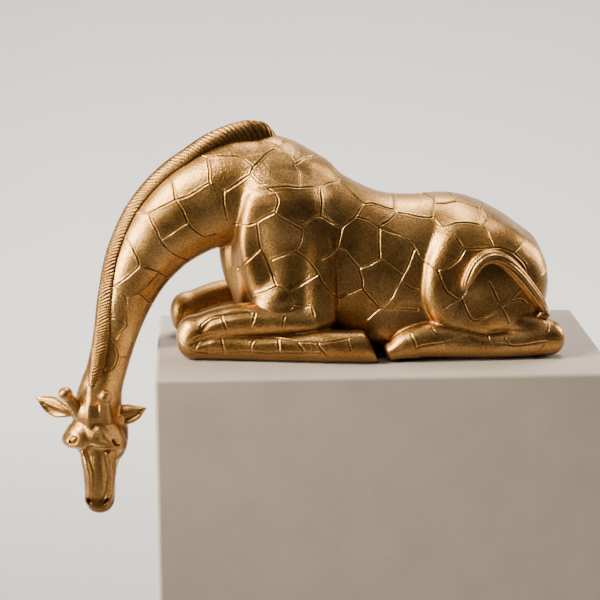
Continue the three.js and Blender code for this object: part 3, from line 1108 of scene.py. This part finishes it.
class Graph:
    """The nodes and links of a material or of the world."""

    def __init__(self, tree):
        self.nodes, self.links = tree.nodes, tree.links

    def link(self, output, node, socket):
        self.links.new(output, node.inputs[socket])

    def places(self, kind="Object"):
        return self.nodes.new("ShaderNodeTexCoord").outputs[kind]

    def noise(self, places, scale, detail, roughness=0.55):
        node = self.nodes.new("ShaderNodeTexNoise")
        node.inputs["Scale"].default_value = scale
        node.inputs["Detail"].default_value = detail
        node.inputs["Roughness"].default_value = roughness
        self.link(places, node, "Vector")
        return node.outputs["Fac"]

    def ramp(self, value, stops):
        node = self.nodes.new("ShaderNodeValToRGB")
        self.link(value, node, "Fac")
        for element, (at, colour) in zip(node.color_ramp.elements, (stops[0], stops[-1])):
            element.position, element.color = at, (*colour, 1)
        for at, colour in stops[1:-1]:
            node.color_ramp.elements.new(at).color = (*colour, 1)
        return node.outputs["Color"]

    def mixed(self, factor, a, b, mode="MIX"):
        node = self.nodes.new("ShaderNodeMix")
        node.data_type = "RGBA"
        node.blend_type = mode
        for socket, value in ((node.inputs[0], factor), (node.inputs[6], a), (node.inputs[7], b)):
            if isinstance(value, bpy.types.NodeSocket):
                self.links.new(value, socket)
            elif isinstance(value, tuple):
                socket.default_value = (*value, 1)
            else:
                socket.default_value = value
        return node.outputs[2]

    def spread(self, value, source, target):
        """A value from the source range moved to the target range."""
        node = self.nodes.new("ShaderNodeMapRange")
        self.link(value, node, "Value")
        names = ("From Min", "From Max", "To Min", "To Max")
        for name, number in zip(names, (*source, *target)):
            node.inputs[name].default_value = number
        return node.outputs["Result"]

    def bump(self, height, strength, distance):
        shader = self.nodes["Principled BSDF"]
        node = self.nodes.new("ShaderNodeBump")
        node.inputs["Strength"].default_value = strength
        node.inputs["Distance"].default_value = distance
        self.link(height, node, "Height")
        self.link(node.outputs["Normal"], shader, "Normal")


def new_material(name):
    material = bpy.data.materials.new(name)
    material.use_nodes = True
    graph = Graph(material.node_tree)
    return material, graph, graph.nodes["Principled BSDF"]


LEAF = [(0.3, (0.46, 0.24, 0.075)), (0.5, (0.6, 0.335, 0.12)), (0.7, (0.72, 0.43, 0.175))]
SPECKS = [(0.4, (0.45, 0.43, 0.4)), (0.52, (0.85, 0.84, 0.82)), (0.64, (1.0, 1.0, 1.0))]
# The brown of the patina, which also paints shade into the gold.
PATINA_AND_SHADE_COLOUR = (0.13, 0.06, 0.02)
PATINA_AND_SHADE_MOST = 0.93  # how much of the gold the thickest patina or painted shade hides


def gold_material():
    """Antique gold: leaf-like mottling, dull specks, brown patina in the recesses and painted shade in
    the same brown.
    """
    material, graph, shader = new_material("antique_gold")
    places = graph.places()
    patina_and_shade = graph.nodes.new("ShaderNodeAttribute")
    patina_and_shade.attribute_name = "patina_and_shade"
    leaf = graph.ramp(graph.noise(places, 38, 4), LEAF)
    specks = graph.ramp(graph.noise(places, 1000, 2, 0.6), SPECKS)
    leaf = graph.mixed(0.7, leaf, specks, "MULTIPLY")
    shade = graph.spread(patina_and_shade.outputs["Fac"], (0, 1), (0, PATINA_AND_SHADE_MOST))
    graph.link(graph.mixed(shade, leaf, PATINA_AND_SHADE_COLOUR), shader, "Base Color")
    shader.inputs["Metallic"].default_value = 1.0
    rough = graph.noise(places, 60, 5, 0.6)
    graph.link(graph.spread(rough, (0.3, 0.7), (0.26, 0.4)), shader, "Roughness")
    graph.bump(graph.noise(places, 1200, 2, 0.6), 0.6, 0.3 * MM)
    return material


def plain_material(name, dark, light, scale, rough, metallic=0.0):
    material, graph, shader = new_material(name)
    grain = graph.noise(graph.places(), scale, 6, 0.65)
    graph.link(graph.ramp(grain, [(0.3, dark), (0.7, light)]), shader, "Base Color")
    shader.inputs["Metallic"].default_value = metallic
    shader.inputs["Roughness"].default_value = rough
    graph.bump(grain, 0.5, 0.1 * MM)
    return material


GOLD = gold_material()


# ---------------------------------------------------------------- pieces


def add_object(name, data):
    thing = bpy.data.objects.new(name, data)
    bpy.context.scene.collection.objects.link(thing)
    return thing


PATINA_AND_SHADE_SCALE = 0.86  # share of each piece's patina and painted shade that is kept


def make_piece(name, bm, patina_and_shade, node):
    """Turns a bmesh in millimetres into a gold piece that replaces a CAD node."""
    mesh = bpy.data.meshes.new(name)
    bm.to_mesh(mesh)
    bm.free()
    # Per vertex: patina in the lines and hollows, and painted shade.
    attribute = mesh.attributes.new("patina_and_shade", "FLOAT", "POINT")
    attribute.data.foreach_set("value", share(patina_and_shade * PATINA_AND_SHADE_SCALE).astype(np.float32))
    coords = np.empty(len(mesh.vertices) * 3)
    mesh.vertices.foreach_get("co", coords)
    mesh.vertices.foreach_set("co", coords * MM)
    mesh.update()
    mesh.materials.append(GOLD)
    piece = add_object(name, mesh)
    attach(piece, "root")
    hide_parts(node)


def crevice(field, p, normals, reach):
    """0 on open surfaces, up to 1 where the surface or a neighbour closes in on a point."""
    return share(1 - each(field, p + normals * reach) / reach)


def everything(p):
    """The castings that lie close to each other and the shelf's top, as one field: what the recess
    patina and the painted shade are measured from.
    """
    ground = np.where(p[:, 0] > SHELF_EDGE, p[:, 2], FAR)
    f = np.minimum(body_field(p), ground)
    for leg in (*forelegs.values(), *hindlegs.values()):
        f = np.minimum(f, leg(p))
    return f


def engrave(bm, field, distance, rounds, reach):
    """Refines the mesh near the lines and presses them in; returns each vertex's patina and painted
    shade.
    """
    shade_smooth(bm)
    for k in range(rounds):
        refine(bm, distance, reach if k == 0 else reach * 0.62)
    p = positions(bm)
    free = outer_verts(bm)
    p[free] = settled(field, p[free], 1)
    normals = unit(gradient(field, p))
    d = distance(p)
    height = line_profile(d)
    patina_and_shade = share(1 - d / LINE_HALF) * 0.7
    # Patina in the recesses, and painted shade where a neighbouring casting or the shelf closes in.
    patina_and_shade = np.maximum(patina_and_shade, crevice(everything, p, normals, 4) ** 1.5)
    patina_and_shade = np.maximum(patina_and_shade, crevice(everything, p, normals, 11) ** 1.4 * 0.9)
    p[free] += (normals * height[:, None])[free]
    place(bm, p)
    return patina_and_shade


coat = coat_tree()
seam_normal = np.cross(unit(SEAM_HIGH - SEAM_LOW), (0, 1, 0))  # towards the neck
NO_LINE = 9.0  # a distance at which no line is pressed in


UNDERSIDE = (0, 0, RIM_Z), (0, 0, -1)  # a cut: a point on it, and the side that is removed


def shell(field, box, step, cuts):
    """The field's surface in a box, cut on planes."""
    bm = surface_of(field, *box, step)
    for point, normal in cuts:
        keep_side(bm, point, normal)
    largest_shell(bm)
    return bm


def build_incised(name, field, box, step, cuts, lines, node, rounds=2, reach=1.9):
    """A casting with lines pressed into it."""
    bm = shell(field, box, step, cuts)
    patina_and_shade = engrave(bm, field, lines, rounds, reach)
    make_piece(name, bm, patina_and_shade, node)


def build_plain(name, field, box, step, cuts, patina_and_shade_of, node):
    """A casting without incised lines."""
    bm = shell(field, box, step, cuts)
    shade_smooth(bm)
    make_piece(name, bm, patina_and_shade_of(positions(bm)), node)


def trunk_lines(p):
    d = line_distance(p, coat)
    leg = np.minimum.reduce([each(f, p) for f in (*forelegs.values(), *hindlegs.values())])
    return np.where((leg < -0.1) | (p[:, 2] < 1.5), NO_LINE, d)


def neck_lines(p):
    return np.where(p[:, 2] < POLL_Z + 3, NO_LINE, line_distance(p, coat))


def head_patina_and_shade(p):
    """Patina in the eyes, the nostrils, the mouth and the head's recesses; painted shade on the
    muzzle's end, the nose's front, between the brows and over the head's right side.
    """
    q = in_head(p)
    m = in_muzzle(q)
    holes = [parts["hollow"](q) for parts in head_sides.values()]
    holes += [parts["nostril"](m) for parts in head_sides.values()]
    closed = crevice(skull_field, p, unit(gradient(skull_field, p)), 3) ** 1.5
    nose = share((5.4 - np.abs(m[:, 0])) / 1.4) * share((-23 - q[:, 2]) / 3)
    front = share((-3 - m[:, 1]) / 1.5)
    from_brows = np.linalg.norm((q - BETWEEN_BROWS) / (5, 6, 5.5), axis=1)
    return np.maximum.reduce(
        [
            0.45 * share(0.6 - np.minimum.reduce(holes) / 0.5),
            1.5 * mouth(q),
            0.75 * closed,
            # Painted shade: the muzzle's end, the nose's front, the patch between the brows and the
            # head's right side.
            1.16 * share((MUZZLE_SHADE_Z - q[:, 2]) / 4),
            0.45 * nose * front,
            0.9 * share(1.7 - from_brows),
            0.3 * share((q[:, 0] - 2) / 4),
        ]
    )


def horn_darkening(side):
    """Darkening on a horn's shaft; the knob is left without it."""
    knob = np.array(OSSICONE_ENDS[side][1], float)
    return lambda q: 0.75 * share((np.linalg.norm(q - knob, axis=1) - 3) / 3)


def ear_darkening(q):
    """Darkening on an ear: a little all over, more towards its root."""
    return 0.12 + 0.3 * share((20 - np.abs(q[:, 0] - EAR_MIDDLE)) / 9)


def build_fitting(name, field, darkening, node):
    """An ear or a horn: a small casting in the head's frame."""
    low, high = (np.array(c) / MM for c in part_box(node))
    box = low - 5, high + 5
    build_plain(
        name, lambda p: field(in_head(p)), box, FITTING_STEP, [], lambda p: darkening(in_head(p)), node
    )


def side_box(low, high, side):
    """A box of the left side, or its mirror image."""
    if side == LEFT:
        return low, high
    return (low[0], -high[1], low[2]), (high[0], -low[1], high[2])


LEG_INSIDE = 28.0  # from the middle plane to the rays' start, inside a leg


def build_leg(name, field, lines_seen, side, shift, box, node):
    seen = [np.array(line) + (shift, 0) for line in lines_seen]
    tree = tree_of([laid(field, line, side, LEG_INSIDE) for line in seen])

    def lines(p):
        return np.where(p[:, 2] < 1, NO_LINE, line_distance(p, tree))

    box = side_box(*box, side)
    build_incised(name, field, box, LEG_STEP, [UNDERSIDE], lines, node, rounds=1, reach=1.4)


TRUNK_BOX = (-112, -46, -4), (108, 46, 126)
NECK_BOX = (-164, -34, -34), (-40, 34, 126)
HEAD_BOX = (-176, -36, -96), (-118, 18, -14)
BELOW_POLL, ABOVE_POLL = (((0, 0, POLL_Z), (0, 0, way)) for way in (-1, 1))
trunk_cuts = [(SEAM_LOW, seam_normal), UNDERSIDE]
neck_cuts = [(SEAM_LOW, -seam_normal), BELOW_POLL]
build_incised("trunk", trunk_field, TRUNK_BOX, BODY_STEP, trunk_cuts, trunk_lines, "trunk_shell")
build_incised("neck", neck_field, NECK_BOX, BODY_STEP, neck_cuts, neck_lines, "neck_casting")
build_plain("head", skull_field, HEAD_BOX, HEAD_STEP, [ABOVE_POLL], head_patina_and_shade, "head_casting")
for side, word in ((LEFT, "left"), (RIGHT, "right")):
    shift = FORE_SHIFT[side]
    fore_box = (-110 + shift, -46, -4), (10, -8, 40)
    hind_box = (0, -46, -4), (108, -14, 38)
    fore, hind = forelegs[side], hindlegs[side]
    build_leg(f"fore_limb_{word}", fore, FORE_LINES, side, shift, fore_box, f"foreleg_{word}")
    build_leg(f"hind_limb_{word}", hind, HIND_LINES, side, 0, hind_box, f"hindleg_{word}")
    build_fitting(f"ear_{word}", ears[side], ear_darkening, f"ear_{word}")
    build_fitting(f"horn_{word}", ossicones[side], horn_darkening(side), f"ossicone_{word}")


# ---------------------------------------------------------------- mane and tail


def tube_mesh(rows):
    """A mesh from rings of points, one row each, with a fan on each end."""
    rings, sides, _ = rows.shape
    bm = bmesh.new()
    verts = [bm.verts.new(co) for co in rows.reshape(-1, 3).tolist()]
    for i in range(rings - 1):
        for j in range(sides):
            k = (j + 1) % sides
            a, b = i * sides, (i + 1) * sides
            bm.faces.new((verts[a + j], verts[a + k], verts[b + k], verts[b + j])).smooth = True
    first = bm.verts.new(rows[0].mean(0).tolist())
    last = bm.verts.new(rows[-1].mean(0).tolist())
    end = (rings - 1) * sides
    for j in range(sides):
        k = (j + 1) % sides
        bm.faces.new((verts[k], verts[j], first)).smooth = True
        bm.faces.new((verts[end + j], verts[end + k], last)).smooth = True
    bmesh.ops.recalc_face_normals(bm, faces=bm.faces)
    return bm


CAP_PATINA = [0, 0]  # the middle points of a tube's two end fans
MANE_RINGS, MANE_COLUMNS = 760, 41  # points along the crest and across it
MANE_PITCH = 1.9  # from one hatch line to the next
MANE_SLANT = 1.1  # how far a hatch line runs back for each millimetre it climbs
MANE_FOOT = 2.5  # how deep the crest's foot is set into the neck


def build_mane():
    """The hatched crest: a ridge with a sharp top that follows the neck's outer line."""
    table = np.array(MANE)
    shares = np.linspace(table[0, 0], table[-1, 0], MANE_RINGS)
    rise = np.interp(shares, table[:, 0], table[:, 1])
    wide = np.interp(shares, table[:, 0], table[:, 2])
    kernel = np.hanning(17) / np.hanning(17).sum()
    rise = np.convolve(np.pad(rise, 8, mode="edge"), kernel, "valid")
    wide = np.convolve(np.pad(wide, 8, mode="edge"), kernel, "valid")
    centre, up, side, _, half = neck.at(shares * neck.steps)
    length = np.concatenate([[0], np.cumsum(np.linalg.norm(np.diff(centre, axis=0), axis=1))])
    across = np.linspace(-1, 1, MANE_COLUMNS)
    around = across[None, :] * (wide / half[:, 1])[:, None]
    reach_up = half[:, :1] * np.cos(around)
    reach_side = half[:, 1:] * np.sin(around)
    out = unit(
        up[:, None, :] * np.cos(around)[..., None] + side[:, None, :] * np.sin(around)[..., None]
    )
    skin = centre[:, None, :] + up[:, None, :] * reach_up[..., None]
    skin = skin + side[:, None, :] * reach_side[..., None]
    flank = np.abs(across)[None, :]
    climb = (1 - flank**1.8) * rise[:, None]
    step = 0.7 * share((1 - flank) / 0.06)
    along = (length * 1.25)[:, None] + MANE_SLANT * flank * wide[:, None]
    phase = (along + 0.5 * np.sin(along * 0.37 + across * 2)) / MANE_PITCH
    hatch = np.abs(np.sin(np.pi * phase)) ** 0.7
    depth = 0.8 * np.clip(flank / 0.2, 0.3, 1) * share((1 - flank) / 0.1)
    height = climb + step - depth * (1 - hatch)
    top = skin + out * height[..., None]
    foot = skin[:, ::-1] - out[:, ::-1] * MANE_FOOT
    rows = np.concatenate([top, foot[:, 1:-1]], axis=1)
    stain = np.concatenate([0.5 + 0.9 * (1 - hatch), 0 * foot[:, 1:-1, 0]], axis=1)
    bm = tube_mesh(rows)
    patina_and_shade = np.concatenate([stain.reshape(-1), CAP_PATINA])
    make_piece("mane", bm, patina_and_shade, "mane_crest")


# Tail: x and height as seen from the camera's side, half thickness and half width.
TAIL = [
    (89, 12, 3, 3.6),
    (88, 18.5, 3.4, 4.4),
    (81, 28.4, 3.8, 4.8),
    (74, 37, 3.8, 4.8),
    (67.2, 43.4, 3.8, 4.8),
    (60.4, 45.6, 3.8, 5),
    (54.6, 43, 3.6, 4.8),
    (50.6, 37.2, 3.4, 4.2),
    (48, 31.4, 2.4, 2.8),
    (47, 27.6, 0.9, 1),
]
TAIL_RISE = 0.7  # how far the tail's middle lies off the haunch
TAIL_RINGS, TAIL_COLUMNS = 300, 72  # points along the tail and around it
TAIL_STRANDS = 9
TAIL_TWIST = 1.4  # radians, from root to tuft


def build_tail():
    """The tail, with strands of hair that twist slowly towards the tuft."""
    seen = spline(np.array(TAIL, float), np.linspace(0, 1, 40))
    start = np.stack([seen[:, 0], 0 * seen[:, 0], seen[:, 1]], 1)
    middle = cast(trunk_field, start, SIGHT)
    middle = middle + unit(gradient(trunk_field, middle)) * TAIL_RISE
    middle = spline(middle[::3], np.linspace(0, 1, 40))
    path = Loft(*np.hstack([middle, seen[:, 2:]]), across=(-0.3, 1, 0), steps=260)
    s = np.linspace(0, path.steps, TAIL_RINGS)
    centre, up, side, _, half = path.at(s)
    angle = np.linspace(0, 2 * math.pi, TAIL_COLUMNS, endpoint=False)
    taper = share((path.steps - s) / 14) ** 0.5
    taper = taper * np.clip((s + 2) / 6, 0.3, 1) ** 0.5
    twist = s[:, None] / path.steps * TAIL_TWIST
    turns = (angle[None, :] + twist) * (TAIL_STRANDS / 2)
    strands = np.abs(np.sin(turns + 0.4 * np.sin(s[:, None] / 17)))
    groove = 0.65 * (1 - strands**0.6) * np.clip(s / 60, 0.3, 1)[:, None]
    size_up = half[:, :1] * taper[:, None] - groove
    size_side = half[:, 1:] * taper[:, None] - groove
    size_up, size_side = np.maximum(size_up, 0.15), np.maximum(size_side, 0.15)
    rows = centre[:, None, :]
    rows = rows + up[:, None, :] * (size_up * np.cos(angle))[..., None]
    rows = rows + side[:, None, :] * (size_side * np.sin(angle))[..., None]
    bm = tube_mesh(rows)
    patina_and_shade = np.concatenate([((1 - strands**0.6) * 0.8).reshape(-1), CAP_PATINA])
    make_piece("tail_draped", bm, patina_and_shade, "tail")


build_mane()
build_tail()

# ---------------------------------------------------------------- the CAD's own parts


felt = plain_material("dark_felt", (0.02, 0.017, 0.014), (0.06, 0.05, 0.04), 1400, 0.95)
iron = plain_material("raw_iron", (0.06, 0.055, 0.05), (0.16, 0.15, 0.14), 700, 0.6, 0.9)
steel = plain_material("drawn_steel", (0.4, 0.41, 0.42), (0.6, 0.61, 0.62), 500, 0.3, 1.0)
for name, material in (
    ("felt_sheet", felt),
    ("ballast_block", iron),
    ("neck_rod", steel),
    ("base_plate", GOLD),
):
    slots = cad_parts[name].data.materials
    slots.clear()
    slots.append(material)

# ---------------------------------------------------------------- stage, light and camera

PLINTH_HIGH = 0.34
PLINTH_HALF = 0.062
FLOOR_Z = -PLINTH_HIGH
FLOOR_FRONT = -1.7
FLOOR_HALF = 2.2  # half the sheet's width, and how high it rises behind
COVE_AT = 0.9  # where the floor starts to curve up into the backdrop
COVE_RADIUS = 0.5
COVE_STEPS = 16


def stage_box(name, low, high, radius, material):
    """A slab with rounded edges."""
    bm = bmesh.new()
    bmesh.ops.create_cube(bm, size=1)
    size = Vector(high) - Vector(low)
    for v in bm.verts:
        v.co = Vector(low) + Vector(((v.co[k] + 0.5) * size[k] for k in range(3)))
    mesh = bpy.data.meshes.new(name)
    bm.to_mesh(mesh)
    bm.free()
    mesh.materials.append(material)
    slab = add_object(name, mesh)
    bevel = slab.modifiers.new("round", "BEVEL")
    bevel.width = radius
    bevel.segments = 4


floor_material = plain_material("pale_floor", (0.8, 0.775, 0.745), (0.83, 0.805, 0.775), 3, 0.8)
plinth_material = plain_material("pale_plinth", (0.38, 0.338, 0.318), (0.43, 0.382, 0.362), 40, 0.85)
knee_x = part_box("foreleg_right")[0][0]
hock_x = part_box("hindleg_left")[1][0]


def cove():
    """The floor and the backdrop in one sheet."""
    path = [(FLOOR_FRONT, FLOOR_Z), (COVE_AT, FLOOR_Z)]
    for k in range(1, COVE_STEPS + 1):
        a = math.pi / 2 * k / COVE_STEPS
        path.append((COVE_AT + COVE_RADIUS * math.sin(a), FLOOR_Z + COVE_RADIUS * (1 - math.cos(a))))
    path.append((COVE_AT + COVE_RADIUS, FLOOR_Z + FLOOR_HALF))
    verts = [(x, y, z) for y, z in path for x in (-FLOOR_HALF, FLOOR_HALF)]
    faces = [(2 * k, 2 * k + 1, 2 * k + 3, 2 * k + 2) for k in range(len(path) - 1)]
    mesh = bpy.data.meshes.new("floor")
    mesh.from_pydata(verts, [], faces)
    for polygon in mesh.polygons:
        polygon.use_smooth = True
    mesh.materials.append(floor_material)
    add_object("floor", mesh)


cove()
stage_box(
    "plinth",
    (knee_x - 0.008, -PLINTH_HALF, FLOOR_Z + 0.0002),
    (hock_x + 0.02, PLINTH_HALF, 0.0),
    0.002,
    plinth_material,
)


def aim(obj, target):
    obj.rotation_mode = "QUATERNION"
    obj.rotation_quaternion = (Vector(target) - obj.location).to_track_quat("-Z", "Y")


def softbox(name, location, target, size, power, colour, beam=180):
    light = bpy.data.lights.new(name, "AREA")
    light.shape = "RECTANGLE"
    light.size, light.size_y = size
    light.energy = power
    light.color = colour
    light.spread = math.radians(beam)
    lamp = add_object(name, light)
    lamp.location = location
    aim(lamp, target)


CENTRE = (-0.037, 0.0, 0.024)
softbox("key", (-0.8, -0.3, 0.7), CENTRE, (0.4, 0.4), 1.5, (1.0, 0.9, 0.66), beam=34)
softbox("side", (-0.95, -0.22, 0.1), CENTRE, (0.35, 0.5), 1.3, (1.0, 0.9, 0.64), beam=36)
softbox("top", (0.1, 0.3, 0.95), CENTRE, (0.7, 0.4), 0.7, (1.0, 0.92, 0.74), beam=36)
softbox("rim", (0.85, 0.25, 0.35), CENTRE, (0.2, 0.6), 0.6, (1.0, 0.91, 0.72), beam=36)
softbox("wall", (0.0, 0.95, 1.5), (0.0, 1.15, -0.1), (2.0, 0.3), 27, (1.0, 0.96, 0.9), beam=96)

# The room: dim in front at eye level, bright overhead and behind. Share of the way up, and colour.
ROOM_LIGHT = [
    (0.45, (0.13, 0.105, 0.085)),
    (0.52, (0.08, 0.062, 0.046)),
    (0.66, (0.1, 0.08, 0.064)),
    (0.8, (0.36, 0.33, 0.29)),
    (1.0, (1.0, 0.95, 0.88)),
]
BACKDROP_LIGHT = (0.6, 0.55, 0.49)
world = bpy.data.worlds.new("studio")
bpy.context.scene.world = world
world.use_nodes = True
room = Graph(world.node_tree)
direction = room.nodes.new("ShaderNodeSeparateXYZ")
room.link(room.places("Generated"), direction, 0)
rising = room.ramp(room.spread(direction.outputs["Z"], (-1, 1), (0, 1)), ROOM_LIGHT)
behind = room.spread(direction.outputs["Y"], (0, 0.7), (0, 1))
background = room.nodes["Background"]
room.link(room.mixed(behind, rising, BACKDROP_LIGHT), background, "Color")
background.inputs["Strength"].default_value = 0.36

CAMERA_AZIMUTH, CAMERA_ELEVATION = -3.0, 15.0
CAMERA_AWAY = 0.975
LENS, SENSOR = 110, 36  # millimetres
camera_data = bpy.data.cameras.new("camera")
camera_data.lens, camera_data.sensor_width = LENS, SENSOR
camera = add_object("camera", camera_data)
azimuth, elevation = math.radians(CAMERA_AZIMUTH), math.radians(CAMERA_ELEVATION)
back = Vector(
    (
        math.sin(azimuth) * math.cos(elevation),
        -math.cos(azimuth) * math.cos(elevation),
        math.sin(elevation),
    )
)
camera.location = Vector(CENTRE) + back * CAMERA_AWAY
aim(camera, CENTRE)
camera_data.clip_start, camera_data.clip_end = 0.05, 20
bpy.context.scene.camera = camera
